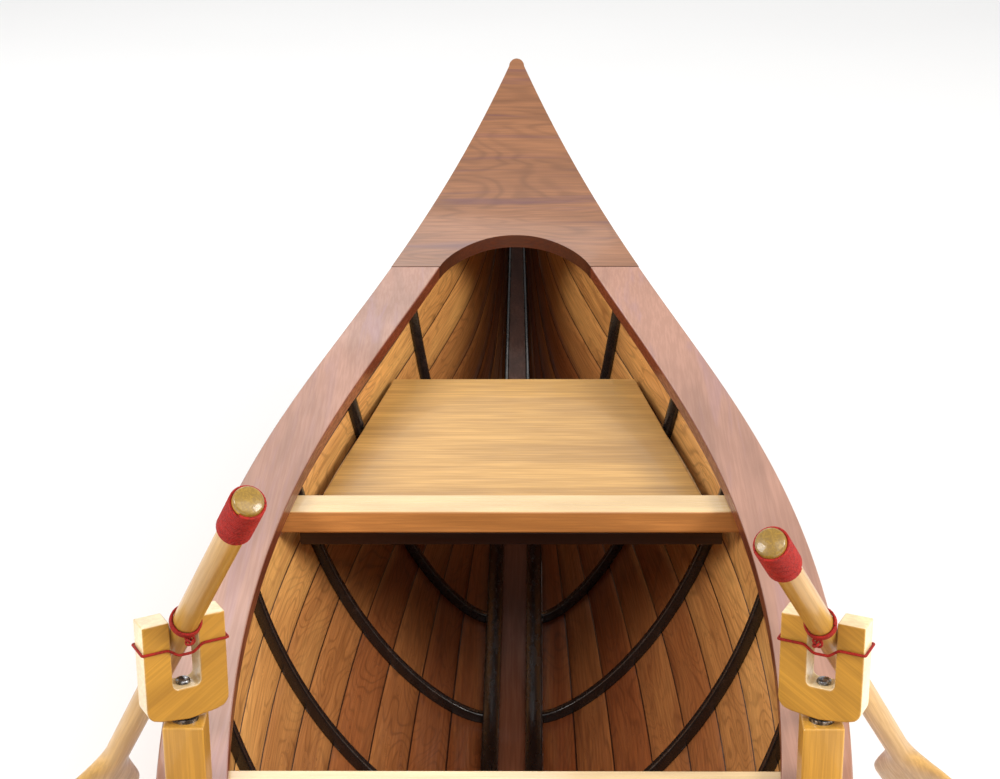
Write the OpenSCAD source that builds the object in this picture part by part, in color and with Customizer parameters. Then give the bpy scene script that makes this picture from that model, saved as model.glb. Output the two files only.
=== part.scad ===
// A strip-planked display canoe with decks, seats, thwarts and a pair of oars
// in block oarlocks. Millimetres. +Y is the stern, +X is port, +Z is up.
// The origin is on the underside of the keel at mid length.

/* [Hull] */
// Length over all, tip to tip
hull_length = 1082; // [1000:2:1180]
// Beam over the outer edges of the gunwales
hull_beam = 254; // [244:2:270]
// Height of the gunwale top at mid length
sheer_height = 141.5; // [134:0.5:150]
// Height of the deck at each tip
tip_height = 231; // [215:1:250]
// Thickness of the planking strips
plank_thickness = 4.5; // [3.5:0.5:5]
// Depth of the keel plank
keel_depth = 7.5; // [6.5:0.5:9]
// Half width of the keelson at mid length
keelson_half = 14.3; // [13:0.1:16]

/* [Gunwales and decks] */
// Width of a gunwale plank
gunwale_width = 24.8; // [22:0.2:27]
// Depth of a gunwale plank and of a deck
gunwale_depth = 7; // [5:0.5:8]
// Distance from mid length to the seam between gunwale and deck
deck_seam = 377; // [370:1:384]
// Reach of the arched opening into the deck
arch_reach = 31; // [24:1:36]

/* [Ribs] */
// Distance between the ribs
rib_spacing = 102; // [100:1:104]
// Width of a rib along the hull
rib_width = 5; // [4:0.5:6]
// How far a rib stands in from the planking
rib_height = 4.7; // [4:0.1:5]

/* [Thwarts and seats] */
// Width of a thwart along the hull
thwart_width = 18.3; // [14:0.1:20]
// Depth of a thwart
thwart_depth = 10.3; // [8:0.1:12]
// Middle of the stern thwart, from mid length
stern_thwart_y = 123.6; // [120:0.1:126]
// Middle of the bow thwart, from mid length
bow_thwart_y = -112.2; // [-114:0.1:-110]
// Height of the top of a seat
seat_height = 118; // [112:1:119]
// Thickness of a seat board
seat_thickness = 6; // [5:0.5:7]

/* [Oarlocks] */
// Width of an oarlock block
lock_width = 29.3; // [27:0.1:31]
// Height of an oarlock block
lock_height = 37.7; // [36:0.1:40]
// Thickness of an oarlock block along its slot
lock_thickness = 8.7; // [8:0.1:9.5]
// Width of the slot that the oar lies in
slot_width = 9.9; // [9.8:0.1:11]
// Side of the square post
post_side = 14; // [12:0.5:15]
// Height of the post above the gunwale
post_height = 28; // [26:0.5:30]

/* [Oars] */
// Length of an oar
oar_length = 365; // [350:1:368]
// Length of the blade
blade_length = 140; // [120:1:150]
// Width of the blade
blade_width = 34; // [28:1:36]
// Radius of the shaft
shaft_radius = 4.5; // [4.3:0.1:4.6]

/* [Hidden] */
$fn = 48;

// Sides: port is +1 and starboard is -1 along X; stern is +1 and bow is -1 along Y
PORT = 1;
STARBOARD = -1;
STERN = 1;
BOW = -1;

STRIPS = 9;
RIB_PAIRS = 8;
glue_gap = 0.1;

half_length = hull_length / 2;
tip_radius = 4.4;
taper_length = half_length - tip_radius;
rim_power = 2;
sheer_power = 4.7;

// Planking: inset of its inner face from the gunwale's outer edge, and its section curve
wall_inset_mid = 19;
wall_inset_tip = 3.6;
wall_inset_power = 6;
breadth_power = 1.333;
height_power = 1.24;
top_flare = 4;
top_flare_power = 8;
top_flare_fade = 4;
tangent_step = 0.02;
strip_spacing_power = 0.8;
plank_end = half_length - 12;
plank_end_height = 1.5;
plank_end_thickness = 1.2;
plank_taper_start = plank_end - 50;

// Keel profile: flat to forefoot_y, then a curve up to the tip
forefoot_y = 432;
forefoot_length = half_length - forefoot_y;
stem_inner_length = plank_end - forefoot_y;
stem_power_along = 2.2;
stem_power_up = 0.55;
keelson_taper_start = 330;
keelson_taper_end = 430;
keelson_half_forefoot = 8.2;
keelson_half_tip = 2.6;
keelson_tip_power = 4;
keel_bottom_step = 3;
keel_bottom_least = 2;
stem_half = 3;
rail_share_mid = 0.57;
rail_share_end = 0.3;
arch_power = 2.2;
rail_height = 4.7;
rail_end = plank_end - 10;

seat_near_y = 128;
seat_far_y = 314;
seat_rib_gap = 0.8;
cleat_depth = 8;
cleat_width = 9;
cleat_rib_gap = 2;
cleat_end_gap = 4;

post_foot_gap = 0.2;
post_x = 108;
post_y = -128;
washer_radius = 4.6;
washer_thickness = 1.4;
running_gap = 0.3;
pin_radius = 1.1;
pin_bore_gap = 0.09;
pin_depth = 15;
pin_head_radius = 2.5;
pin_head_height = 1.5;
slot_floor = 12.2;
slot_corner = 2;
lock_corner = 5;
lock_corner_height = 6.3;
lock_bow = 3;
oar_drop = 6.7;

thread_radius = 0.5;
thread_gap = 0.05;
band_drop = 9.8;
band_dip = 2.7;
band_dip_half = 3.6;
band_mouth_gap = 0.8;
lashing_turns = 4;
lashing_pitch = 0.9;
lashing_offset = 8.2;
lashing_fit = 0.08;

grip_radius = 4.9;
grip_length = 22;
whipping_radius = 5.9;
whipping_length = 20;
whipping_setback = 1.2;
blade_thickness = 3.6;
blade_taper = 70;
blade_edge = 0.2;
blade_shoulder = 0.35;
blade_tip = 0.85;

// Each oar's own rest: yaw of its block, slope of its shaft, length inboard of the lock
function lock_yaw(side) = side == PORT ? 24.5 : 28;
function oar_slope(side) = side == PORT ? 44 : 47.2;
function inboard_length(side) = side == PORT ? 88 : 106;

wood_planking = "#a8683c";
wood_deck = "#a5714c";
wood_gunwale = "#b98f80";
wood_dark = "#1d1512";
wood_seat = "#dcae62";
wood_thwart = "#ecd3a0";
wood_lock = "#d6a256";
wood_oar = "#dcbd7c";
thread_red = "#c8322a";
steel_dark = "#3a3a3c";

function smooth(v) = let (w = min(1, max(0, v))) w * w * (3 - 2 * w);
function mix(a, b, v) = a + (b - a) * v;
function unit(v) = v / norm(v);

// Plan: half breadth to the outer edge of gunwale or deck
function rim_half(y) = abs(y) <= taper_length
  ? mix(hull_beam / 2, tip_radius, pow(abs(y) / taper_length, rim_power))
  : sqrt(max(0, pow(tip_radius, 2) - pow(abs(y) - taper_length, 2)));
function rim_slope(y) = rim_power * (hull_beam / 2 - tip_radius)
  * pow(abs(y), rim_power - 1) / pow(taper_length, rim_power);
function rim_inner(y) = rim_half(y) - gunwale_width * sqrt(1 + pow(rim_slope(y), 2));

// Profile: gunwale top, its underside, and the keel's under and upper faces
function sheer(y) = mix(sheer_height, tip_height, pow(abs(y) / half_length, sheer_power));
function rim_under(y) = sheer(y) - gunwale_depth;
function curve_up(v) = 1 - pow(1 - pow(min(1, max(0, v)), stem_power_along), stem_power_up);
function keel_under(y) =
  rim_under(half_length) * curve_up((abs(y) - forefoot_y) / forefoot_length);
function keel_over(y) = keel_depth
  + (rim_under(plank_end) - keel_depth - plank_end_height)
  * curve_up((abs(y) - forefoot_y) / stem_inner_length);
function keel_half(y) =
  mix(keelson_half, keelson_half_forefoot,
      smooth((abs(y) - keelson_taper_start) / (keelson_taper_end - keelson_taper_start)))
  - (keelson_half_forefoot - keelson_half_tip)
  * pow(max(0, abs(y) - keelson_taper_end) / (plank_end - keelson_taper_end), keelson_tip_power);

// Section: t runs from 0 at the keelson to 1 under the gunwale, on the inner face
function wall_half(y) = rim_half(y)
  - mix(wall_inset_mid, wall_inset_tip, pow(abs(y) / taper_length, wall_inset_power));
function wall_point(y, t) = [
  mix(keel_half(y), wall_half(y), pow(sin(90 * t), breadth_power))
  + top_flare * (1 - pow(abs(y) / taper_length, top_flare_fade)) * pow(t, top_flare_power),
  mix(keel_over(y), rim_under(y) - glue_gap, 1 - pow(cos(90 * t), height_power))
];
function wall_tangent(y, t) =
  unit(wall_point(y, min(1, t + tangent_step)) - wall_point(y, max(0, t - tangent_step)));
// Outward normal, level under the gunwale and straight down at the keelson
function wall_normal(y, t) = t >= 1 ? [1, 0] : t <= 0 ? [0, -1]
  : let (d = wall_tangent(y, t)) [d[1], -d[0]];
function wall_offset(y, t, distance) =
  let (p = wall_point(y, t) + wall_normal(y, t) * distance) [p[0], y, p[1]];
function plank_depth(y) = mix(plank_thickness, plank_end_thickness,
  smooth((abs(y) - plank_taper_start) / (plank_end - plank_taper_start)));

// Strip edges, spaced to keep the strips about equally wide at mid length
function strip_edge(index) = pow(index / STRIPS, strip_spacing_power);

// Half breadth of the inner face at a height
function wall_half_at(y, z) =
  let (f = (z - keel_over(y)) / (rim_under(y) - glue_gap - keel_over(y)),
       t = acos(pow(1 - f, 1 / height_power)) / 90) wall_point(y, t)[0];

half_stations = [
  for (k = [1 : 7]) k * rib_spacing / 2,
  deck_seam, 405, forefoot_y, 458, 480, 500, 515, plank_end
];
stations = [for (i = [len(half_stations) - 1 : -1 : 0]) -half_stations[i], 0, each half_stations];
deck_stations = [
  deck_seam, 405, forefoot_y, 458, 480, 500, 515, plank_end, taper_length,
  for (a = [60, 40, 20]) taper_length + tip_radius * cos(a)
];

// Joins closed rings of points, given in order along the part
module loft(rings) {
  count = len(rings[0]);
  last = len(rings) - 1;
  polyhedron(
    points = [for (ring = rings) each ring],
    faces = concat(
      [[for (i = [0 : count - 1]) i]],
      [for (j = [0 : last - 1], i = [0 : count - 1], half = [0, 1])
        let (k = (i + 1) % count, near = j * count, far = near + count)
        half == 0 ? [near + k, near + i, far + i] : [near + k, far + i, far + k]],
      [[for (i = [count - 1 : -1 : 0]) last * count + i]]
    )
  );
}

// Port is drawn and starboard is its mirror image; the same for stern and bow
module sided(side) {
  if (side == PORT) children();
  else mirror([1, 0, 0]) children();
}
module ended(end) {
  if (end == STERN) children();
  else mirror([0, 1, 0]) children();
}

// Keel, keelson and stems
function keel_section(y, top_half, bottom_half, top, shoulder) = [
  [-top_half, y, top],
  [top_half, y, top],
  [top_half, y, shoulder],
  [bottom_half, y, keel_under(y)],
  [-bottom_half, y, keel_under(y)],
  [-top_half, y, shoulder]
];
function keel_ring(y) =
  let (half = keel_half(y) - glue_gap)
  keel_section(y, half, max(keel_bottom_least, half - keel_bottom_step),
               keel_over(y), keel_over(y) - plank_depth(y));
module keel_plank() {
  color(wood_planking)
    loft([for (y = stations) if (abs(y) <= forefoot_y) keel_ring(y)]);
}

// Ahead of the planking the stem is full height under the deck, with a rounded edge
function stem_nose_ring(y) =
  let (back = (y - plank_end) / (half_length - plank_end),
       half = stem_half * sqrt(1 - pow(back, 2)), top = rim_under(y) - glue_gap)
  keel_section(y, half, half, top, mix(keel_under(y), top, 0.5));
module stem(end) {
  color(wood_planking) ended(end)
    loft([
      for (y = half_stations) if (y >= forefoot_y) keel_ring(y),
      for (back = [1 : 2 : 10]) stem_nose_ring(plank_end + back)
    ]);
}

function rail_share(y) = mix(rail_share_mid, rail_share_end,
  smooth((abs(y) - keelson_taper_start) / (keelson_taper_end - keelson_taper_start)));
function rail_ring(y) =
  let (outer = keel_half(y) - glue_gap, inner = outer * (1 - rail_share(y)), z = keel_over(y)) [
  [inner, y, z + rail_height],
  [outer, y, z + rail_height],
  [outer, y, z + thread_gap],
  [inner, y, z + thread_gap]
];
module keelson_rail(side) {
  color(wood_dark) sided(side)
    loft([for (y = stations) if (abs(y) < rail_end) rail_ring(y)]);
}

// Planking strips
function strip_ring(y, index) =
  let (low = strip_edge(index - 1), high = strip_edge(index),
       trim = min(0.5, glue_gap / norm(wall_point(y, high) - wall_point(y, low))),
       top = mix(high, low, index < STRIPS ? trim : 0), depth = plank_depth(y)) [
  wall_offset(y, low, 0),
  wall_offset(y, top, 0),
  wall_offset(y, top, depth),
  wall_offset(y, low, depth)
];
module strip(side, index) {
  color(wood_planking) sided(side)
    loft([for (y = stations) strip_ring(y, index)]);
}

// Half ribs, a pair on each rib line
function rib_ring(y, t) = [
  wall_offset(y - rib_width / 2, t, -glue_gap),
  wall_offset(y + rib_width / 2, t, -glue_gap),
  wall_offset(y + rib_width / 2, t, -rib_height),
  wall_offset(y - rib_width / 2, t, -rib_height)
];
module rib_pair(index) {
  y = (index - (RIB_PAIRS + 1) / 2) * rib_spacing;
  color(wood_dark)
    for (side = [PORT, STARBOARD])
      sided(side)
        loft([for (i = [0 : STRIPS]) rib_ring(y, strip_edge(i))]);
}

// Gunwale planks and decks
function gunwale_ring(y) = [
  [rim_inner(y), y, sheer(y)],
  [rim_half(y), y, sheer(y)],
  [rim_half(y), y, rim_under(y)],
  [rim_inner(y), y, rim_under(y)]
];
module gunwale(side) {
  color(wood_gunwale) sided(side)
    loft([for (y = stations) if (abs(y) <= deck_seam) gunwale_ring(y)]);
}

function deck_ring(y) = [
  [-rim_half(y), y, sheer(y)],
  [rim_half(y), y, sheer(y)],
  [rim_half(y), y, rim_under(y)],
  [-rim_half(y), y, rim_under(y)]
];
function arch_point(v) =
  let (y = deck_seam + glue_gap + arch_reach * v)
  [rim_inner(y) * pow(1 - pow(v, arch_power), 1 / arch_power), y - deck_seam - glue_gap];
module deck(end) {
  seam = deck_seam + glue_gap;
  arch = [for (a = [0 : 7.5 : 90]) arch_point(sin(a))];
  color(wood_deck) ended(end)
    difference() {
      loft([deck_ring(seam), for (y = deck_stations) if (y > seam) deck_ring(y)]);
      translate([0, seam, 0])
        linear_extrude(height = tip_height)
          polygon([
            [rim_inner(seam), -1],
            each arch,
            for (i = [len(arch) - 2 : -1 : 0]) [-arch[i][0], arch[i][1]],
            [-rim_inner(seam), -1]
          ]);
    }
}

// Thwarts: bars under the gunwales, cut to the planking at each end
module thwart(middle) {
  near = middle - thwart_width / 2;
  far = middle + thwart_width / 2;
  top = rim_under(near) - glue_gap;
  bottom = top - thwart_depth;
  near_half = wall_half_at(near, bottom) - running_gap;
  far_half = wall_half_at(far, bottom) - running_gap;
  color(wood_thwart)
    translate([0, 0, bottom])
      linear_extrude(height = thwart_depth)
        polygon([[-near_half, near], [near_half, near], [far_half, far], [-far_half, far]]);
}

// Seats: boards that just clear the ribs, on cleats along the planking
seat_under = seat_height - seat_thickness;
function rib_face_half(y) = wall_half_at(y, seat_under) - rib_height - seat_rib_gap;
inner_rib_y = 1.5 * rib_spacing + rib_width / 2;
outer_rib_y = 2.5 * rib_spacing + rib_width / 2;
function seat_half(y) = mix(rib_face_half(inner_rib_y), rib_face_half(outer_rib_y),
  (y - inner_rib_y) / (outer_rib_y - inner_rib_y));
module seat(end) {
  color(wood_seat) ended(end)
    translate([0, 0, seat_under])
      linear_extrude(height = seat_thickness)
        polygon([
          [-seat_half(seat_near_y), seat_near_y],
          [seat_half(seat_near_y), seat_near_y],
          [seat_half(seat_far_y), seat_far_y],
          [-seat_half(seat_far_y), seat_far_y]
        ]);
}

module seat_cleats(end) {
  bottom = seat_under - cleat_depth;
  spans = [
    [inner_rib_y + cleat_rib_gap, outer_rib_y - rib_width - cleat_rib_gap],
    [outer_rib_y + cleat_rib_gap, seat_far_y - cleat_end_gap]
  ];
  color(wood_thwart) ended(end)
    for (side = [PORT, STARBOARD], span = spans)
      sided(side)
        translate([0, 0, bottom])
          linear_extrude(height = cleat_depth - thread_gap)
            polygon([
              for (v = [0 : 0.25 : 1])
                let (y = mix(span[0], span[1], v)) [wall_half_at(y, bottom) - running_gap, y],
              [wall_half_at(span[1], bottom) - cleat_width, span[1]],
              [wall_half_at(span[0], bottom) - cleat_width, span[0]]
            ]);
}

// Oarlocks
post_base = sheer(post_y) + post_foot_gap;
post_top = sheer(post_y) + post_height;
lock_base = post_top + washer_thickness + running_gap;
pivot_z = lock_base + lock_height - oar_drop;

module at_post(side) {
  translate([side * post_x, post_y, 0]) children();
}
// Frame of a block: +X across the slot, -Y out of its inboard face
module at_lock(side) {
  at_post(side)
    rotate([0, 0, -side * lock_yaw(side)])
      children();
}
// Frame of an oar: +Z up the shaft to the handle, +X level across it
module at_oar(side) {
  translate([0, 0, pivot_z])
    at_lock(side)
      rotate([90 - oar_slope(side), 0, 0])
        children();
}

module post(side) {
  color(wood_lock) at_post(side)
    difference() {
      translate([-post_side / 2, -post_side / 2, post_base])
        cube([post_side, post_side, post_top - post_base]);
      translate([0, 0, post_top - pin_depth])
        cylinder(r = pin_radius, h = pin_depth + 1);
    }
}

module washer(side) {
  color(steel_dark) at_post(side)
    translate([0, 0, post_top])
      difference() {
        cylinder(r = washer_radius, h = washer_thickness);
        translate([0, 0, -1])
          cylinder(r = pin_radius + thread_gap, h = washer_thickness + 2);
      }
}

// Nail driven down through the block and the washer into the post
module pin(side) {
  head_base = lock_base + slot_floor + running_gap;
  color(steel_dark) at_post(side) {
    translate([0, 0, post_top - pin_depth])
      cylinder(r = pin_radius, h = head_base - post_top + pin_depth + pin_head_height / 2);
    translate([0, 0, head_base])
      cylinder(r = pin_head_radius, h = pin_head_height);
  }
}

module lock_outline() {
  bow_radius = (pow(lock_width / 2, 2) + pow(lock_bow, 2)) / (2 * lock_bow);
  shoulder = lock_width / 2 - lock_corner;
  intersection() {
    translate([0, bow_radius])
      circle(r = bow_radius, $fn = 96);
    union() {
      translate([-lock_width / 2, lock_corner_height])
        square([lock_width, lock_height - lock_corner_height]);
      translate([-shoulder, 0])
        square([2 * shoulder, lock_height]);
      for (side = [PORT, STARBOARD])
        translate([side * shoulder, lock_corner_height])
          circle(r = lock_corner);
    }
  }
}
module slot_outline() {
  flat_half = slot_width / 2 - slot_corner;
  translate([-slot_width / 2, slot_floor + slot_corner])
    square([slot_width, lock_height]);
  translate([-flat_half, slot_floor])
    square([2 * flat_half, slot_corner + 1]);
  for (side = [PORT, STARBOARD])
    translate([side * flat_half, slot_floor + slot_corner])
      circle(r = slot_corner);
}
module lock(side) {
  color(wood_lock)
    translate([0, 0, lock_base])
      at_lock(side)
        difference() {
          rotate([90, 0, 0])
            linear_extrude(height = lock_thickness, center = true)
              difference() {
                lock_outline();
                slot_outline();
              }
          translate([0, 0, -1])
            cylinder(r = pin_radius + pin_bore_gap, h = slot_floor + 2);
        }
}

// Lashing band: one thread round the block, dipping under the shaft at the slot's mouth
band_side = lock_width / 2 + thread_radius + thread_gap;
band_face = lock_thickness / 2 + thread_radius + thread_gap;
band_end = slot_width / 2 + band_mouth_gap;
band_route = [
  [band_end, band_face, 0],
  [band_side, band_face, 0],
  [band_side, -band_face, 0],
  [band_end + 1, -band_face, 0],
  [band_dip_half, -band_face, -band_dip],
  [-band_dip_half, -band_face, -band_dip],
  [-band_end - 1, -band_face, 0],
  [-band_side, -band_face, 0],
  [-band_side, band_face, 0],
  [-band_end, band_face, 0]
];
function route_ring(route, i, radius) =
  let (last = len(route) - 1,
       before = unit(route[max(1, i)] - route[max(1, i) - 1]),
       after = unit(route[min(last, i + 1)] - route[min(last, i + 1) - 1]),
       along = unit(before + after),
       across = unit(cross([0, 0, 1], along)),
       stretch = 1 / (across * unit(cross([0, 0, 1], before))),
       rise = cross(along, across))
  [for (a = [0 : 45 : 315])
    route[i] + radius * (cos(a) * stretch * across + sin(a) * rise)];
module lock_band(side) {
  color(thread_red)
    translate([0, 0, lock_base + lock_height - band_drop])
      at_lock(side)
        loft([for (i = [len(band_route) - 1 : -1 : 0]) route_ring(band_route, i, thread_radius)]);
}

// Lashing turns: thread wound round the shaft just inboard of the block
module lashing(side) {
  ring_radius = shaft_radius + lashing_fit + thread_radius;
  color(thread_red) at_oar(side)
    translate([0, 0, lashing_offset])
      rotate_extrude() {
        for (turn = [0 : lashing_turns - 1])
          translate([ring_radius, thread_radius + turn * lashing_pitch])
            circle(r = thread_radius, $fn = 24);
        translate([ring_radius - thread_radius, thread_radius])
          square([thread_radius, (lashing_turns - 1) * lashing_pitch]);
      }
}

// Oars
function blade_half(v) =
  mix(shaft_radius, blade_width / 2, smooth(v / blade_shoulder))
  * sqrt(max(0, 1 - pow(max(0, v - blade_tip) / (1 - blade_tip), 2)));
blade_steps = [
  for (i = [0 : 6]) blade_shoulder * i / 6,
  for (a = [90, 70, 50, 35, 20]) mix(blade_tip, 1, cos(a))
];
module oar(side) {
  inboard = inboard_length(side);
  blade_start = inboard - (oar_length - blade_length);
  color(wood_oar) at_oar(side) {
    translate([0, 0, blade_start])
      cylinder(r = shaft_radius, h = inboard - blade_start);
    translate([0, 0, inboard - grip_length])
      cylinder(r = grip_radius, h = grip_length);
    translate([0, 0, blade_start - blade_taper])
      cylinder(r1 = blade_thickness / 2 - blade_edge, r2 = shaft_radius, h = blade_taper);
    rotate([90, 0, 0])
      linear_extrude(height = blade_thickness, center = true)
        polygon([
          for (v = blade_steps) [blade_half(v), blade_start - v * blade_length],
          [0, blade_start - blade_length],
          for (i = [len(blade_steps) - 1 : -1 : 0])
            [-blade_half(blade_steps[i]), blade_start - blade_steps[i] * blade_length]
        ]);
  }
}

module grip_whipping(side) {
  color(thread_red) at_oar(side)
    translate([0, 0, inboard_length(side) - whipping_setback - whipping_length])
      difference() {
        cylinder(r = whipping_radius, h = whipping_length);
        translate([0, 0, -1])
          cylinder(r = grip_radius + thread_gap, h = whipping_length + 2);
      }
}

keel_plank();
stem(STERN);  // stem_stern
stem(BOW);  // stem_bow
keelson_rail(PORT);  // keelson_rail_port
keelson_rail(STARBOARD);  // keelson_rail_starboard
for (index = [1 : STRIPS]) {
  strip(PORT, index);
  strip(STARBOARD, index);
}
for (index = [1 : RIB_PAIRS])
  rib_pair(index);
gunwale(PORT);  // gunwale_port
gunwale(STARBOARD);  // gunwale_starboard
deck(STERN);  // deck_stern
deck(BOW);  // deck_bow
thwart(stern_thwart_y);  // thwart_stern
mirror([0, 1, 0]) thwart(-bow_thwart_y);  // thwart_bow
seat(STERN);  // seat_stern
seat(BOW);  // seat_bow
seat_cleats(STERN);  // seat_cleats_stern
seat_cleats(BOW);  // seat_cleats_bow
post(PORT);  // post_port
post(STARBOARD);  // post_starboard
washer(PORT);  // washer_port
washer(STARBOARD);  // washer_starboard
pin(PORT);  // pin_port
pin(STARBOARD);  // pin_starboard
lock(PORT);  // lock_port
lock(STARBOARD);  // lock_starboard
lock_band(PORT);  // lock_band_port
lock_band(STARBOARD);  // lock_band_starboard
lashing(PORT);  // lashing_port
lashing(STARBOARD);  // lashing_starboard
oar(PORT);  // oar_port
oar(STARBOARD);  // oar_starboard
grip_whipping(PORT);  // grip_whipping_port
grip_whipping(STARBOARD);  // grip_whipping_starboard
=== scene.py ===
"""A strip-planked display canoe, with its planking, decks, seats and lashed oars."""
import math

import bmesh
import bpy
from bpy.props import FloatProperty, FloatVectorProperty, IntProperty, PointerProperty
from mathutils import Matrix, Vector


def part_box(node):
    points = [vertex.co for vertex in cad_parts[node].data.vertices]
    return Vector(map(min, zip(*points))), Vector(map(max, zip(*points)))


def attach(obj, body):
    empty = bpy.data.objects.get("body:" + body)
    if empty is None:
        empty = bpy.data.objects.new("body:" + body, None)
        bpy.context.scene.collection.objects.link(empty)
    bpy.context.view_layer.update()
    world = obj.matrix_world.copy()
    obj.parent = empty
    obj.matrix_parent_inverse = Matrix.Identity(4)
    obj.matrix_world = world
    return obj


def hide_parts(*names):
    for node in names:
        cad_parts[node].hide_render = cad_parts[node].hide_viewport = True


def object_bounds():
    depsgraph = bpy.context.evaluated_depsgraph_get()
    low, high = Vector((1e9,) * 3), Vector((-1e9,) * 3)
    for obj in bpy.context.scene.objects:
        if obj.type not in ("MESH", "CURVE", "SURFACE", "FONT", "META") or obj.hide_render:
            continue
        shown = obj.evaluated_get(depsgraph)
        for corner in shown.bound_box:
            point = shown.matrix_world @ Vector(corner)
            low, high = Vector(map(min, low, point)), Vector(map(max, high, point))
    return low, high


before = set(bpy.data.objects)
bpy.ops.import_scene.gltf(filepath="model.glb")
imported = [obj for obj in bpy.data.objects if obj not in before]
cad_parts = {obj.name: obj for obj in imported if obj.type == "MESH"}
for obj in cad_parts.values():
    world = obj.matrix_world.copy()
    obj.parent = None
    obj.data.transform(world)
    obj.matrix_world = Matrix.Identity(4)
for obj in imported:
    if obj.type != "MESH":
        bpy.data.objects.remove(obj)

CAD_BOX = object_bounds()

bl_info = {
    "name": "Strip-planked canoe",
    "version": (1, 0, 0),
    "blender": (4, 5, 0),
    "location": "View3D > Sidebar > Canoe",
    "description": "Builds a varnished display canoe over its packed frame",
    "category": "Object",
}

MM = 0.001
PORT = 1
STARBOARD = -1
STERN = 1
BOW = -1
SIDE_NAMES = {PORT: "port", STARBOARD: "starboard"}
END_NAMES = {STERN: "stern", BOW: "bow"}
STRIPS = 9
RIB_PAIRS = 8


# Sizes and colours that a user may change


def length(name, description, default):
    return FloatProperty(name=name, description=description, default=default, unit="LENGTH")


def paint(name, description, default):
    return FloatVectorProperty(
        name=name, description=description, default=default, subtype="COLOR", min=0, max=1
    )


class CanoeHull(bpy.types.PropertyGroup):
    """Sizes of the hull."""

    over_all: length("Length over all", "Tip to tip", CAD_BOX[1].y - CAD_BOX[0].y)
    beam: length("Beam", "Over the outer edges of the gunwales", 0.254)
    sheer_height: length("Sheer height", "Gunwale top at mid length", 0.1415)
    tip_height: length("Tip height", "Deck top at each tip", 0.231)
    plank: length("Planking", "Thickness of the strips", 0.0045)
    keel_depth: length("Keel depth", "Depth of the keel plank", 0.0075)
    keelson_half: length("Keelson half width", "Half width at mid length", 0.0143)
    gunwale_width: length("Gunwale width", "Width of a gunwale plank", 0.0248)
    gunwale_depth: length("Gunwale depth", "Depth of gunwales and decks", 0.007)
    deck_seam: length("Deck seam", "Mid length to the seam of the deck", 0.377)
    arch_reach: length("Arch", "Reach of the arched opening into the deck", 0.031)
    rib_spacing: length("Rib spacing", "Distance between ribs", 0.102)
    rib_width: length("Rib width", "Width of a rib along the hull", 0.005)
    rib_height: length("Rib height", "How far a rib stands in", 0.0047)
    stations: IntProperty(
        name="Stations", description="Sections along each long piece", default=132, min=24
    )


class CanoeFittings(bpy.types.PropertyGroup):
    """Sizes of the fittings."""

    thread: length("Thread", "Radius of the lashing thread", 0.0005)
    shaft: length("Shaft", "Radius of an oar's shaft", 0.0045)
    grip: length("Grip", "Radius of an oar's grip", 0.0049)
    blade_length: length("Blade length", "Length of an oar's blade", 0.14)
    blade_width: length("Blade width", "Width of an oar's blade", 0.034)
    edge: length("Edge", "Rounding of wooden edges", 0.0006)


class CanoeColours(bpy.types.PropertyGroup):
    """Base colours of the finishes."""

    planking: paint("Planking", "Varnished strips", (0.88, 0.425, 0.125))
    backbone: paint("Backbone", "Keel and stems", (0.25, 0.085, 0.04))
    ribs: paint("Ribs", "Ribs and keelson rails", (0.012, 0.008, 0.007))
    deck: paint("Decks", "End decks", (0.27, 0.11, 0.044))
    gunwale: paint("Gunwales", "Gunwale planks", (0.365, 0.18, 0.12))
    edge: paint("Edges", "Sawn edges of decks and gunwales", (0.22, 0.05, 0.02))
    glue: paint("Glue lines", "Seams between the strips", (0.035, 0.011, 0.006))
    seat: paint("Seats", "Seat boards", (0.56, 0.31, 0.085))
    # Painted shade: the seats' sawn edges are near black, for the shade under the thwarts and
    # along the seat sides.
    seat_edge_painted_shade: paint("Seat edges", "Sawn edges of the seats", (0.04, 0.016, 0.01))
    thwart: paint("Thwarts", "Thwart tops and cleats", (0.72, 0.50, 0.24))
    thwart_face: paint("Thwart faces", "Upright faces of the thwarts", (0.56, 0.235, 0.065))
    lock: paint("Oarlocks", "Blocks and posts", (0.52, 0.265, 0.036))
    # Painted light: the blocks' sides are painted paler than their faces, as a lit copy of the
    # same wood.
    lock_side_painted_light: paint("Oarlock sides", "Sawn sides of the blocks", (0.78, 0.60, 0.34))
    oar: paint("Oars", "Shafts and blades", (0.50, 0.262, 0.038))
    handle_end: paint("Handle ends", "End grain of the oars", (0.29, 0.165, 0.016))
    thread: paint("Thread", "Lashings and whippings", (0.29, 0.011, 0.006))
    nail: paint("Nails", "Pins and washers", (0.09, 0.085, 0.085))


def hull():
    return bpy.context.scene.canoe_hull


def fittings():
    return bpy.context.scene.canoe_fittings


def colours():
    return bpy.context.scene.canoe_colours


# Lines of the hull, the same curves as the frame's


TIP_RADIUS = 4.4 * MM
SHEER_POWER = 4.7
WALL_INSET_MID = 19 * MM
WALL_INSET_TIP = 3.6 * MM
WALL_INSET_POWER = 6
BREADTH_POWER = 1.333
HEIGHT_POWER = 1.24
TOP_FLARE = 4 * MM
TOP_FLARE_POWER = 8
TOP_FLARE_FADE = 4
STRIP_SPACING_POWER = 0.8
PLANK_END_GAP = 12 * MM
PLANK_END_HEIGHT = 1.5 * MM
PLANK_END_THICKNESS = 1.2 * MM
PLANK_TAPER = 50 * MM
FOREFOOT = 432 * MM
STEM_POWER_ALONG = 2.2
STEM_POWER_UP = 0.55
KEELSON_TAPER = (330 * MM, 430 * MM)
KEELSON_HALF_FOREFOOT = 8.2 * MM
KEELSON_HALF_TIP = 2.6 * MM
KEELSON_TIP_POWER = 4
GLUE_GAP = 0.1 * MM
TANGENT_STEP = 0.02


def mix(a, b, v):
    return a + (b - a) * v


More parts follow.
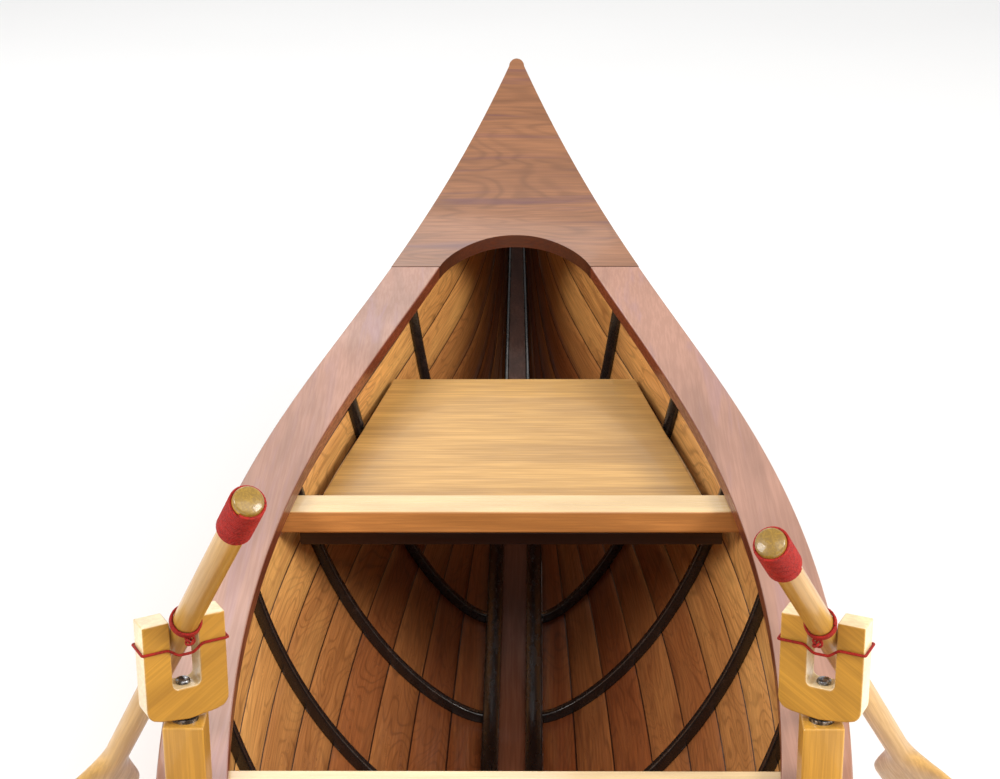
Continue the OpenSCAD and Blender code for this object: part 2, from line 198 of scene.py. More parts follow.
def smooth(v):
    w = min(1.0, max(0.0, v))
    return w * w * (3 - 2 * w)


def half_length():
    return hull().over_all / 2


def plank_end():
    return half_length() - PLANK_END_GAP


def rim_half(y):
    taper = half_length() - TIP_RADIUS
    if abs(y) <= taper:
        return mix(hull().beam / 2, TIP_RADIUS, (abs(y) / taper) ** 2)
    return math.sqrt(max(0.0, TIP_RADIUS**2 - (abs(y) - taper) ** 2))


def rim_inner(y):
    taper = half_length() - TIP_RADIUS
    slope = 2 * (hull().beam / 2 - TIP_RADIUS) * abs(y) / taper**2
    return rim_half(y) - hull().gunwale_width * math.sqrt(1 + slope**2)


def sheer(y):
    return mix(hull().sheer_height, hull().tip_height, (abs(y) / half_length()) ** SHEER_POWER)


def rim_under(y):
    return sheer(y) - hull().gunwale_depth


def curve_up(v):
    w = min(1.0, max(0.0, v))
    return 1 - (1 - w**STEM_POWER_ALONG) ** STEM_POWER_UP


def keel_under(y):
    run = half_length() - FOREFOOT
    return rim_under(half_length()) * curve_up((abs(y) - FOREFOOT) / run)


def keel_over(y):
    rise = rim_under(plank_end()) - hull().keel_depth - PLANK_END_HEIGHT
    run = plank_end() - FOREFOOT
    return hull().keel_depth + rise * curve_up((abs(y) - FOREFOOT) / run)


def keel_half(y):
    taper = smooth((abs(y) - KEELSON_TAPER[0]) / (KEELSON_TAPER[1] - KEELSON_TAPER[0]))
    end = max(0.0, abs(y) - KEELSON_TAPER[1]) / (plank_end() - KEELSON_TAPER[1])
    return mix(hull().keelson_half, KEELSON_HALF_FOREFOOT, taper) - (
        KEELSON_HALF_FOREFOOT - KEELSON_HALF_TIP
    ) * end**KEELSON_TIP_POWER


def wall_point(y, t):
    along = abs(y) / (half_length() - TIP_RADIUS)
    wall_half = rim_half(y) - mix(WALL_INSET_MID, WALL_INSET_TIP, along**WALL_INSET_POWER)
    angle = math.pi / 2 * min(1.0, max(0.0, t))
    breadth = mix(keel_half(y), wall_half, max(0.0, math.sin(angle)) ** BREADTH_POWER)
    breadth += TOP_FLARE * (1 - along**TOP_FLARE_FADE) * t**TOP_FLARE_POWER
    height = 1 - max(0.0, math.cos(angle)) ** HEIGHT_POWER
    return Vector((breadth, mix(keel_over(y), rim_under(y) - GLUE_GAP, height)))


def wall_offset(y, t, distance):
    """A point of the planking's inner face, moved outwards by a distance."""
    if t >= 1:
        normal = Vector((1, 0))
    elif t <= 0:
        normal = Vector((0, -1))
    else:
        run = wall_point(y, min(1, t + TANGENT_STEP)) - wall_point(y, max(0, t - TANGENT_STEP))
        run.normalize()
        normal = Vector((run.y, -run.x))
    p = wall_point(y, t) + normal * distance
    return Vector((p.x, y, p.y))


def plank_depth(y):
    start = plank_end() - PLANK_TAPER
    return mix(hull().plank, PLANK_END_THICKNESS, smooth((abs(y) - start) / PLANK_TAPER))


def strip_edge(index):
    return (index / STRIPS) ** STRIP_SPACING_POWER


def stations(low, high, power=1.0):
    """Stations from low to high, closer together towards the ends when both ends curve."""
    count = hull().stations
    middle, reach = (low + high) / 2, (high - low) / 2
    found = []
    for i in range(count + 1):
        v = 2 * i / count - 1
        found.append(middle + reach * math.copysign(abs(v) ** power, v))
    return found


# Mesh helpers


UPRIGHT = 0.6


def link(name, mesh):
    obj = bpy.data.objects.new(name, mesh)
    bpy.context.scene.collection.objects.link(obj)
    return obj


def face_out(mesh):
    """Merges doubled points and turns every face outwards."""
    work = bmesh.new()
    work.from_mesh(mesh)
    bmesh.ops.remove_doubles(work, verts=work.verts, dist=1e-6)
    bmesh.ops.dissolve_degenerate(work, edges=work.edges, dist=1e-6)
    bmesh.ops.recalc_face_normals(work, faces=work.faces)
    work.to_mesh(mesh)
    work.free()


def finish_mesh(name, points, faces, grain, tone, sharp=35, marks=None):
    """Makes an object from points and faces. grain holds a point's place along and across the
    fibre, and tone is a shade value for the piece, both of which its material may read; on the
    planking strips the tone is painted shade. marks gives each face's material."""
    mesh = bpy.data.meshes.new(name)
    mesh.from_pydata(points, [], faces)
    layer = mesh.attributes.new("grain", "FLOAT_VECTOR", "POINT")
    layer.data.foreach_set("vector", [c for g in grain for c in g])
    shade = mesh.attributes.new("tone", "FLOAT", "POINT")
    shade.data.foreach_set("value", [tone] * len(points))
    if marks:
        mesh.polygons.foreach_set("material_index", marks)
    face_out(mesh)
    mesh.shade_smooth()
    mesh.set_sharp_from_angle(angle=math.radians(sharp))
    return link(name, mesh)


def loft_faces(rows, count):
    """Faces of a tube of rings, with both ends closed."""
    faces = [tuple(range(count))[::-1]]
    for j in range(rows - 1):
        for i in range(count):
            k = (i + 1) % count
            near, far = j * count, (j + 1) * count
            faces.append((near + i, near + k, far + k, far + i))
    faces.append(tuple(range((rows - 1) * count, rows * count)))
    return faces


def loft(name, rings, grain_of, tone=0.0, sharp=35):
    """A closed tube through rings of points."""
    points = [p for ring in rings for p in ring]
    grain = [grain_of(Vector(p)) for p in points]
    return finish_mesh(name, points, loft_faces(len(rings), len(rings[0])), grain, tone, sharp)


def round_edges(obj, width, angle=40):
    bevel = obj.modifiers.new("Rounded edges", "BEVEL")
    bevel.width = width
    bevel.segments = 2
    bevel.limit_method = "ANGLE"
    bevel.angle_limit = math.radians(angle)
    bevel.harden_normals = False
    return obj


def bake_modifiers(obj):
    """Turns an object and its modifiers into one plain mesh."""
    graph = bpy.context.evaluated_depsgraph_get()
    mesh = bpy.data.meshes.new_from_object(obj.evaluated_get(graph), depsgraph=graph)
    obj.modifiers.clear()
    old = obj.data
    obj.data = mesh
    bpy.data.meshes.remove(old)
    return obj


def dress(obj, *materials):
    if obj.data.materials:
        obj.data.materials.clear()
    for m in materials:
        obj.data.materials.append(m)
    return obj


def place(obj, body, slot, *nodes):
    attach(obj, body)
    if nodes:
        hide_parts(*nodes)
    return obj


def prism(name, outline, low, high, grain_of, tone=0.0, matrix=None, sharp=30):
    """An outline in the XY plane, drawn up from low to high."""
    turn = matrix or Matrix.Identity(4)
    flat = [Vector((x, y, z)) for z in (low, high) for x, y in outline]
    count = len(outline)
    faces = loft_faces(2, count)
    grain = [grain_of(p) for p in flat]
    return finish_mesh(name, [turn @ p for p in flat], faces, grain, tone, sharp)


def turned(name, profile, matrix, grain_of, tone=0.0, around=32, sharp=35):
    """A profile of (radius, height) pairs, turned about the Z axis."""
    rings = []
    for radius, height in profile:
        ring = []
        for i in range(around):
            a = 2 * math.pi * i / around
            ring.append(Vector((radius * math.cos(a), radius * math.sin(a), height)))
        rings.append(ring)
    flat = [p for ring in rings for p in ring]
    grain = [grain_of(p) for p in flat]
    faces = loft_faces(len(rings), around)
    return finish_mesh(name, [matrix @ p for p in flat], faces, grain, tone, sharp)


# Materials


class Nodes:
    """Short calls for building a node tree."""

    def __init__(self, tree):
        self.tree = tree
        tree.nodes.clear()

    def put(self, value, socket):
        if isinstance(value, bpy.types.NodeSocket):
            self.tree.links.new(value, socket)
        else:
            socket.default_value = value

    def fill(self, node, given):
        """Links or sets a node's inputs, by name or number."""
        for key, value in given.items():
            self.put(value, node.inputs[key])

    def add(self, kind, given=None, **values):
        node = self.tree.nodes.new(kind)
        for key, value in values.items():
            setattr(node, key, value)
        self.fill(node, given or {})
        return node

    def math(self, operation, a, b=0.0):
        return self.add("ShaderNodeMath", {0: a, 1: b}, operation=operation).outputs[0]

    def scaled(self, vector, scale, turn=(0, 0, 0)):
        given = {"Vector": vector, "Scale": scale, "Rotation": turn}
        return self.add("ShaderNodeMapping", given).outputs[0]

    def noise(self, vector, detail=2.0, rough=0.5, distortion=0.0):
        given = {"Vector": vector, "Scale": 1.0, "Detail": detail, "Roughness": rough}
        given["Distortion"] = distortion
        return self.add("ShaderNodeTexNoise", given).outputs["Fac"]

    def spread(self, value, from_low, from_high, low=0.0, high=1.0):
        given = {"Value": value, "From Min": from_low, "From Max": from_high}
        given.update({"To Min": low, "To Max": high})
        node = self.add("ShaderNodeMapRange", given, interpolation_type="SMOOTHSTEP")
        return node.outputs["Result"]

    def blend(self, factor, a, b, kind="MIX"):
        given = {0: factor, 6: a, 7: b}
        node = self.add("ShaderNodeMix", given, data_type="RGBA", blend_type=kind)
        return node.outputs[2]

    def bump(self, height, strength, distance):
        given = {"Height": height, "Strength": strength, "Distance": distance}
        return self.add("ShaderNodeBump", given).outputs[0]


def shader(name):
    """A new material with its tree and its principled shader."""
    material = bpy.data.materials.new(name)
    material.use_nodes = True
    nodes = Nodes(material.node_tree)
    out = nodes.add("ShaderNodeOutputMaterial")
    surface = nodes.add("ShaderNodeBsdfPrincipled")
    material.node_tree.links.new(surface.outputs[0], out.inputs["Surface"])
    return material, nodes, surface


def tint(colour, factor, warm=0.0):
    """A darker or lighter, warmer or cooler version of a colour."""
    r, g, b = colour
    return (
        min(1.0, r * factor * (1 + warm)),
        min(1.0, g * factor),
        min(1.0, b * factor * (1 - warm)),
        1.0,
    )


def grain_attribute(nodes):
    return nodes.add("ShaderNodeAttribute", attribute_name="grain").outputs["Vector"]


def tone_attribute(nodes):
    return nodes.add("ShaderNodeAttribute", attribute_name="tone").outputs["Fac"]


def wood(
    name,
    colour,
    figure=0.5,
    rings=7.0,
    across=22.0,
    along=2.2,
    fibre=0.35,
    stain=None,
    stain_amount=0.0,
    knots=0.0,
    gloss=0.5,
    rough=(0.28, 0.45),
    bump=0.25,
    ring_edge=0.42,
    painted_shade_colour=None,
):
    """Varnished wood with growth rings, fibres and blotches. The last argument is the colour of
    painted shade that a piece is darkened towards as its tone falls to minus one."""
    material, nodes, surface = shader(name)
    grain = grain_attribute(nodes)
    tone = tone_attribute(nodes)
    field = nodes.noise(
        nodes.scaled(grain, (along, across, across)), detail=2.0, rough=0.45, distortion=0.5
    )
    if knots:
        cells = nodes.add("ShaderNodeTexVoronoi", voronoi_dimensions="3D")
        nodes.put(nodes.scaled(grain, (9.0, 34.0, 34.0)), cells.inputs["Vector"])
        near = nodes.spread(cells.outputs["Distance"], 0.0, 0.34, 1.0, 0.0)
        field = nodes.math("ADD", field, nodes.math("MULTIPLY", near, knots * 0.35))
    waves = nodes.math("PINGPONG", nodes.math("MULTIPLY", field, rings), 0.5)
    line = nodes.spread(waves, 0.0, ring_edge)
    fibres = nodes.noise(nodes.scaled(grain, (26.0, 900.0, 900.0)), detail=3.0, rough=0.6)
    pores = nodes.noise(nodes.scaled(grain, (60.0, 2600.0, 2600.0)), detail=1.0)
    blotch = nodes.noise(nodes.scaled(grain, (9.0, 30.0, 30.0)), detail=3.0, rough=0.55)
    dark, light = tint(colour, 0.48, 0.06), tint(colour, 1.32, -0.02)
    base = nodes.blend(line, dark, tint(colour, 1.0))
    base = nodes.blend(1.0 - figure, base, tint(colour, 1.0))
    base = nodes.blend(nodes.spread(blotch, 0.42, 0.68, 0.0, 0.6), base, light)
    base = nodes.blend(nodes.spread(blotch, 0.5, 0.3, 0.0, 0.45), base, tint(colour, 0.62, 0.08))
    base = nodes.blend(nodes.spread(fibres, 0.62, 0.42, 0.0, fibre), base, dark)
    if stain is not None:
        veins = nodes.noise(
            nodes.scaled(grain, (5.0, 90.0, 90.0)), detail=4.0, rough=0.6, distortion=0.8
        )
        amount = nodes.spread(veins, 0.52, 0.68, 0.0, stain_amount)
        base = nodes.blend(amount, base, tint(stain, 1.0))
    if knots:
        core = nodes.spread(cells.outputs["Distance"], 0.03, 0.13, 0.75 * knots, 0.0)
        base = nodes.blend(core, base, tint(colour, 0.16, 0.1))
    # Painted shade: the colour is multiplied towards the shade colour as the tone falls below
    # zero.
    if painted_shade_colour is not None:
        base = nodes.blend(nodes.math("MULTIPLY", tone, -1.0), base, (*painted_shade_colour, 1.0), "MULTIPLY")
    finish = {
        "Base Color": base,
        "Roughness": nodes.spread(fibres, 0.3, 0.7, rough[1], rough[0]),
    }
    nodes.fill(surface, finish)
    relief = nodes.math("ADD", fibres, nodes.math("MULTIPLY", pores, 0.4))
    finish = {
        "Normal": nodes.bump(relief, bump, 0.0004),
        "Coat Weight": gloss,
        "Coat Roughness": 0.09,
        "Specular IOR Level": 0.45,
    }
    nodes.fill(surface, finish)
    return material


def object_grain(nodes, turn=(0, 0, 0)):
    place_of = nodes.add("ShaderNodeTexCoord").outputs["Object"]
    return nodes.scaled(place_of, (1, 1, 1), turn)


def ebonised(name, colour):
    """Near-black stained wood under gloss, with fine pale scratches and worn edges."""
    material, nodes, surface = shader(name)
    where = object_grain(nodes)
    streaks = nodes.noise(nodes.scaled(where, (260, 60, 260)), detail=4.0, rough=0.65)
    wear = nodes.noise(nodes.scaled(where, (90, 90, 90)), detail=3.0, rough=0.6)
    base = nodes.blend(
        nodes.spread(streaks, 0.55, 0.78, 0.0, 0.5), tint(colour, 1.0), (0.05, 0.022, 0.015, 1)
    )
    base = nodes.blend(nodes.spread(wear, 0.64, 0.74, 0.0, 0.3), base, (0.08, 0.045, 0.03, 1))
    finish = {
        "Base Color": base,
        "Roughness": nodes.spread(streaks, 0.3, 0.7, 0.16, 0.34),
        "Normal": nodes.bump(streaks, 0.3, 0.0005),
        "Coat Weight": 0.4,
        "Coat Roughness": 0.14,
    }
    nodes.fill(surface, finish)
    return material


def plain_wood(name, colour, turn=(0, 0, 0)):
    """Wood for pieces of the frame that stay, with its fibre along X after the turn."""
    material, nodes, surface = shader(name)
    where = object_grain(nodes, turn)
    fibres = nodes.noise(nodes.scaled(where, (30, 800, 800)), detail=3.0, rough=0.6)
    blotch = nodes.noise(nodes.scaled(where, (14, 60, 60)), detail=2.0)
    base = nodes.blend(nodes.spread(fibres, 0.35, 0.7), tint(colour, 0.6, 0.05), tint(colour, 1.1))
    base = nodes.blend(nodes.spread(blotch, 0.45, 0.7, 0.0, 0.4), base, tint(colour, 0.75))
    finish = {
        "Base Color": base,
        "Roughness": nodes.spread(fibres, 0.3, 0.7, 0.5, 0.35),
        "Normal": nodes.bump(fibres, 0.2, 0.0004),
        "Coat Weight": 0.3,
    }
    nodes.fill(surface, finish)
    return material


def twisted_thread(name, colour):
    """Cotton thread: fine strands across it with painted shade in the hollows between them, and a
    soft sheen.
    """
    material, nodes, surface = shader(name)
    where = object_grain(nodes)
    ply_noise_and_hollow_shade = nodes.noise(nodes.scaled(where, (2600, 2600, 2600)), detail=2.0)
    shade = nodes.noise(nodes.scaled(where, (320, 320, 320)), detail=2.0)
    # Painted shade: the dark spots of this noise stand for shade in the hollows between the
    # strands.
    base = nodes.blend(nodes.spread(ply_noise_and_hollow_shade, 0.3, 0.7), tint(colour, 0.45), tint(colour, 1.25))
    base = nodes.blend(nodes.spread(shade, 0.45, 0.7, 0.0, 0.5), base, tint(colour, 1.0, 0.2))
    finish = {
        "Base Color": base,
        "Normal": nodes.bump(ply_noise_and_hollow_shade, 0.5, 0.0003),
        "Roughness": 0.6,
        "Specular IOR Level": 0.2,
        "Sheen Weight": 0.03,
        "Sheen Roughness": 0.5,
    }
    nodes.fill(surface, finish)
    return material


def dull_steel(name, colour):
    """Darkened nail steel with brighter rubbed spots."""
    material, nodes, surface = shader(name)
    where = object_grain(nodes)
    rub = nodes.noise(nodes.scaled(where, (700, 700, 700)), detail=3.0, rough=0.6)
    base = nodes.blend(nodes.spread(rub, 0.4, 0.7), tint(colour, 0.7), (0.42, 0.42, 0.44, 1))
    finish = {
        "Base Color": base,
        "Roughness": nodes.spread(rub, 0.3, 0.7, 0.45, 0.22),
        "Normal": nodes.bump(rub, 0.2, 0.0002),
        "Metallic": 0.9,
    }
    nodes.fill(surface, finish)
    return material


def along_y(p):
    return (p.y, p.x, p.z)


def along_x(p):
    return (p.x, p.y, p.z)


def along_z(p):
    return (p.z, p.x, p.y)


def seeded(grain_of, seed):
    """Shifts a grain so that each piece is cut from wood of its own."""

    def shifted(p):
        a, b, c = grain_of(p)
        return (a + 3.7 * seed, b + 0.31 * seed, c + 1.13 * seed)

    return shifted


# Planking


# Painted shade per strip, from index 1 at the keel to 9 at the gunwale: the lower strips are
# darkened as shade, with small random steps between neighbours.
STRIP_TONES_AND_PAINTED_SHADE = {
    PORT: (-0.95, -0.82, -0.90, -0.76, -0.82, -0.55, -0.26, -0.08, 0.0),
    STARBOARD: (-0.92, -0.88, -0.78, -0.85, -0.66, -0.58, -0.22, -0.12, 0.0),
}
STRIP_CHAMFER = 0.35 * MM
CHAMFER_FACES = (0, 5, 7, 12)


def strip_ring(side, y, index):
    """A strip's section: its inner face with chamfered edges, then its outer face."""
    low, high = strip_edge(index - 1), strip_edge(index)
    breadth = (wall_point(y, high) - wall_point(y, low)).length
    trim = min(0.5, GLUE_GAP / breadth) if index < STRIPS else 0.0
    high = mix(high, low, trim)
    depth = plank_depth(y)
    edge = min(STRIP_CHAMFER, breadth * 0.2, depth * 0.25)
    inset = edge / breadth
    shares = (0.0, inset, 0.3, 0.5, 0.7, 1 - inset, 1.0)
    inner = []
    outer = []
    for i, share in enumerate(shares):
        cut = edge * 0.7 if i in (0, len(shares) - 1) else 0.0
        t = mix(low, high, share)
        inner.append(wall_offset(y, t, cut))
        outer.append(wall_offset(y, t, depth - cut))
    ring = inner + outer[::-1]
    return [Vector((side * p.x, p.y, p.z)) for p in ring], shares


def make_strip(side, index, materials):
    rows = stations(-plank_end(), plank_end(), 0.8)
    points = []
    grain = []
    seed = index + (0 if side == PORT else 11)
    for y in rows:
        ring, shares = strip_ring(side, y, index)
        breadth = (ring[len(shares) - 1] - ring[0]).length
        points += ring
        across = [share * breadth for share in shares]
        for v in across + across[::-1]:
            grain.append((y + 3.7 * seed, v + 0.31 * seed, 1.13 * seed))
    name = "strip_%s_%d" % (SIDE_NAMES[side], index)
    faces = loft_faces(len(rows), len(ring))
    round_ring = [1 if i in CHAMFER_FACES else 0 for i in range(len(ring))]
    marks = [0] + round_ring * (len(rows) - 1) + [0]
    tone = STRIP_TONES_AND_PAINTED_SHADE[side][index - 1]
    obj = finish_mesh(name + "_planed", points, faces, grain, tone, 50, marks)
    dress(obj, *materials)
    return place(obj, "hull", "planking", name)


class CANOE_OT_planking(bpy.types.Operator):
    """Lays the strips of the planking on both sides"""

    bl_idname = "canoe.planking"
    bl_label = "Planking"

    def execute(self, context):
        # The last colour given is painted shade, which darkens the strips by their tones.
        material = wood(
            "varnished_strip", colours().planking, figure=0.8, rings=24.0, across=40.0,
            along=7.0, fibre=0.4, stain=(0.20, 0.05, 0.016), stain_amount=0.3, knots=0.4,
            gloss=0.4, rough=(0.30, 0.48), ring_edge=0.24, painted_shade_colour=(0.25, 0.105, 0.10),
        )
        seam = wood("glue_seam", colours().glue, figure=0.3, fibre=0.3, gloss=0.15)
        for side in (PORT, STARBOARD):
            for index in range(1, STRIPS + 1):
                make_strip(side, index, (material, seam))
        return {"FINISHED"}


# Keel, stems and keelson rails


KEEL_BOTTOM_STEP = 3 * MM
KEEL_BOTTOM_LEAST = 2 * MM
STEM_HALF = 3 * MM
STEM_STEPS = 40
STEM_NOSE_STEPS = (0.6, 1, 3, 5, 7, 8, 9, 10)
RAIL_SHARE = (0.57, 0.3)
RAIL_HEIGHT = 4.7 * MM
RAIL_END_GAP = 10 * MM
RAIL_ROUND = 0.9 * MM


def keel_section(y, top_half, bottom_half, top, shoulder):
    return [
        Vector((-top_half, y, top)),
        Vector((top_half, y, top)),
        Vector((top_half, y, shoulder)),
        Vector((bottom_half, y, keel_under(y))),
        Vector((-bottom_half, y, keel_under(y))),
        Vector((-top_half, y, shoulder)),
    ]


def keel_ring(y):
    half = keel_half(y) - GLUE_GAP
    bottom = max(KEEL_BOTTOM_LEAST, half - KEEL_BOTTOM_STEP)
    return keel_section(y, half, bottom, keel_over(y), keel_over(y) - plank_depth(y))


def stem_nose_ring(y):
    back = (abs(y) - plank_end()) / (half_length() - plank_end())
    half = STEM_HALF * math.sqrt(1 - back**2)
    top = rim_under(y) - GLUE_GAP
    return keel_section(y, half, half, top, mix(keel_under(y), top, 0.5))


def rail_ring(side, y):
    outer = keel_half(y) - GLUE_GAP
    taper = smooth((abs(y) - KEELSON_TAPER[0]) / (KEELSON_TAPER[1] - KEELSON_TAPER[0]))
    inner = outer * (1 - mix(*RAIL_SHARE, taper))
    low, high = keel_over(y) + 0.05 * MM, keel_over(y) + RAIL_HEIGHT
    corner = min(RAIL_ROUND, (outer - inner) * 0.3)
    outline = [
        (inner, low),
        (inner, high - corner),
        (inner + corner * 0.3, high - corner * 0.3),
        (inner + corner, high),
        (outer - corner, high),
        (outer - corner * 0.3, high - corner * 0.3),
        (outer, high - corner),
        (outer, low),
    ]
    return [Vector((side * x, y, z)) for x, z in outline]


class CANOE_OT_backbone(bpy.types.Operator):
    """Makes the keel plank, the stems and the keelson rails"""

    bl_idname = "canoe.backbone"
    bl_label = "Keel, stems and keelson"

    def execute(self, context):
        brown = wood("keel_wood", colours().backbone, figure=0.6, gloss=0.1, rough=(0.42, 0.6))
        rings = [keel_ring(y) for y in stations(-FOREFOOT, FOREFOOT)]
        keel = loft("keel_plank_planed", rings, seeded(along_y, 31))
        round_edges(dress(keel, brown), 0.4 * MM)
        place(keel, "hull", "planking", "keel_plank")
        for end, name in END_NAMES.items():
            run = plank_end() - FOREFOOT
            quarters = [math.pi / 2 * i / STEM_STEPS for i in range(STEM_STEPS + 1)]
            steps = [FOREFOOT + run * math.sin(a) for a in quarters]
            rings = [keel_ring(end * y) for y in steps]
            nose = half_length() - plank_end()
            for back in STEM_NOSE_STEPS:
                if back * MM < nose:
                    rings.append(stem_nose_ring(end * (plank_end() + back * MM)))
            stem = loft("stem_%s_shaped" % name, rings, seeded(along_y, 33 + end))
            round_edges(dress(stem, brown), 0.3 * MM)
            place(stem, "hull", "planking", "stem_" + name)
        black = ebonised("black_rail", colours().ribs)
        reach = plank_end() - RAIL_END_GAP
        for side, name in SIDE_NAMES.items():
            rings = [rail_ring(side, y) for y in stations(-reach, reach, 0.85)]
            rail = loft("keelson_rail_%s_shaped" % name, rings, seeded(along_y, 36 + side))
            place(dress(rail, black), "hull", "dark_wood", "keelson_rail_" + name)
        return {"FINISHED"}


# Ribs, swept along the planking by a node tree


RIB_STEPS = 44
RIB_CORNER = 0.9 * MM
RIB_CORNER_STEPS = 3

def group_tree(name, inputs):
    """A geometry node group with named inputs and one output."""
    tree = bpy.data.node_groups.new(name, "GeometryNodeTree")
    tree.interface.new_socket("Geometry", in_out="INPUT", socket_type="NodeSocketGeometry")
    for label, kind, value in inputs:
        socket = tree.interface.new_socket(label, in_out="INPUT", socket_type=kind)
        if value is not None:
            socket.default_value = value
    tree.interface.new_socket("Geometry", in_out="OUTPUT", socket_type="NodeSocketGeometry")
    return tree


def end_tree(nodes, geometry, material, into):
    """Ends a tree in Realize Instances and Set Material."""
    real = nodes.add("GeometryNodeRealizeInstances", {0: geometry})
    given = {"Geometry": real.outputs[0], "Material": material}
    coat = nodes.add("GeometryNodeSetMaterial", given)
    nodes.put(coat.outputs[0], into.inputs[0])


def sweep_tree(name, sizes, lay_path, lay_profile):
    """A node tree that sweeps a profile along a path and closes both ends."""
    inputs = []
    for label, value in sizes.items():
        kind = "NodeSocketInt" if isinstance(value, int) else "NodeSocketFloat"
        inputs.append((label, kind, value))
    tree = group_tree(name, [*inputs, ("Material", "NodeSocketMaterial", None)])
    nodes = Nodes(tree)
    given = nodes.add("NodeGroupInput").outputs
    into = nodes.add("NodeGroupOutput")
    lines = {"Curve": lay_path(nodes, given), "Profile Curve": lay_profile(nodes, given)}
    sweep = nodes.add("GeometryNodeCurveToMesh", {**lines, "Fill Caps": True})
    rounded = nodes.add("GeometryNodeSetShadeSmooth", {"Geometry": sweep.outputs[0]})
    end_tree(nodes, rounded.outputs[0], given["Material"], into)
    return tree


def given_path(nodes, given):
    """The edges of the object that the tree runs on."""
    return nodes.add("GeometryNodeMeshToCurve", {0: given["Geometry"]}).outputs[0]


def bar_profile(nodes, given):
    """A rectangle with rounded corners."""
    sides = {"Width": given["Width"], "Height": given["Height"]}
    box = nodes.add("GeometryNodeCurvePrimitiveQuadrilateral", sides)
    corners = {"Curve": box.outputs[0], "Count": RIB_CORNER_STEPS, "Radius": given["Corner"]}
    return nodes.add("GeometryNodeFilletCurve", corners, mode="POLY").outputs[0]


def grow(obj, tree, **values):
    """Runs a node tree on an object with the values for its named inputs, and keeps the mesh."""
    modifier = obj.modifiers.new(tree.name, "NODES")
    modifier.node_group = tree
    keys = {
        item.name: item.identifier
        for item in tree.interface.items_tree
        if item.item_type == "SOCKET" and item.in_out == "INPUT"
    }
    for label, value in values.items():
        modifier[keys[label.replace("_", " ")]] = value
    return bake_modifiers(obj)


def path_object(name, routes):
    """Open paths as one mesh of edges."""
    points = []
    edges = []
    for route in routes:
        first = len(points)
        points += route
        edges += [(first + i, first + i + 1) for i in range(len(route) - 1)]
    mesh = bpy.data.meshes.new(name)
    mesh.from_pydata(points, edges, [])
    return link(name, mesh)




class CANOE_OT_ribs(bpy.types.Operator):
    """Bends a pair of half ribs on each rib line"""

    bl_idname = "canoe.ribs"
    bl_label = "Ribs"

    def execute(self, context):
        black = ebonised("black_rib", colours().ribs)
        sizes = {"Width": 0.005, "Height": 0.0047, "Corner": RIB_CORNER}
        tree = sweep_tree("Bar along a path", sizes, given_path, bar_profile)
        middle = -(hull().rib_height + GLUE_GAP) / 2
        for index in range(1, RIB_PAIRS + 1):
            y = (index - (RIB_PAIRS + 1) / 2) * hull().rib_spacing
            routes = []
            for side in (PORT, STARBOARD):
                route = [wall_offset(y, i / RIB_STEPS, middle) for i in range(RIB_STEPS + 1)]
                routes.append([(side * p.x, p.y, p.z) for p in route])
            ribs = path_object("ribs_%d_bent" % index, routes)
            grow(
                ribs,
                tree,
                Width=hull().rib_height - GLUE_GAP,
                Height=hull().rib_width,
                Corner=RIB_CORNER,
                Material=black,
            )
            face_out(ribs.data)
            ribs.data.set_sharp_from_angle(angle=math.radians(50))
            place(ribs, "hull", "dark_wood", "ribs_%d" % index)
        return {"FINISHED"}


# Gunwales and decks


def edge_slots(obj):
    """Gives the upright faces of a flat piece their own material."""
    for face in obj.data.polygons:
        face.material_index = 1 if abs(face.normal.z) < UPRIGHT else 0


class CANOE_OT_gunwales(bpy.types.Operator):
    """Lays the wide gunwale planks"""

    bl_idname = "canoe.gunwales"
    bl_label = "Gunwales"

    def execute(self, context):
        top = wood(
            "gunwale_top", colours().gunwale, figure=0.35, rings=4.0, across=40.0, fibre=0.2,
            stain=(0.30, 0.17, 0.20), stain_amount=0.4, gloss=0.3, rough=(0.36, 0.48), bump=0.1,
        )
        edge = wood("sawn_edge", colours().edge, figure=0.6, fibre=0.6, gloss=0.3)
        seam = hull().deck_seam
        for side, name in SIDE_NAMES.items():
            rings = []
            for y in stations(-seam, seam):
                outline = (
                    (rim_inner(y), sheer(y)),
                    (rim_half(y), sheer(y)),
                    (rim_half(y), rim_under(y)),
                    (rim_inner(y), rim_under(y)),
                )
                rings.append([Vector((side * x, y, z)) for x, z in outline])
            plank = loft("gunwale_%s_planed" % name, rings, seeded(along_y, 51 + side), 0.0)
            dress(plank, top, edge)
            edge_slots(plank)
            round_edges(plank, fittings().edge)
            place(plank, "hull", "gunwale_wood", "gunwale_" + name)
        return {"FINISHED"}


ARCH_STEPS = 36
ARCH_POWER = 2.2
DECK_STEPS = 60


def deck_rows():
    """Rows across a deck: each a station and the half width of its opening."""
    seam = hull().deck_seam + GLUE_GAP
    rows = []
    for i in range(ARCH_STEPS + 1):
        v = math.sin(math.pi / 2 * i / ARCH_STEPS)
        y = seam + hull().arch_reach * v
        rows.append((y, rim_inner(y) * max(0.0, 1 - v**ARCH_POWER) ** (1 / ARCH_POWER)))
    start = rows[-1][0]
    taper = half_length() - TIP_RADIUS
    for i in range(1, DECK_STEPS + 1):
        y = mix(start, taper, i / DECK_STEPS)
        rows.append((y, rim_half(y) * 0.5))
    for i in range(1, 9):
        y = taper + TIP_RADIUS * math.sin(math.pi / 2 * i / 8)
        rows.append((y, rim_half(y) * 0.5))
    return rows


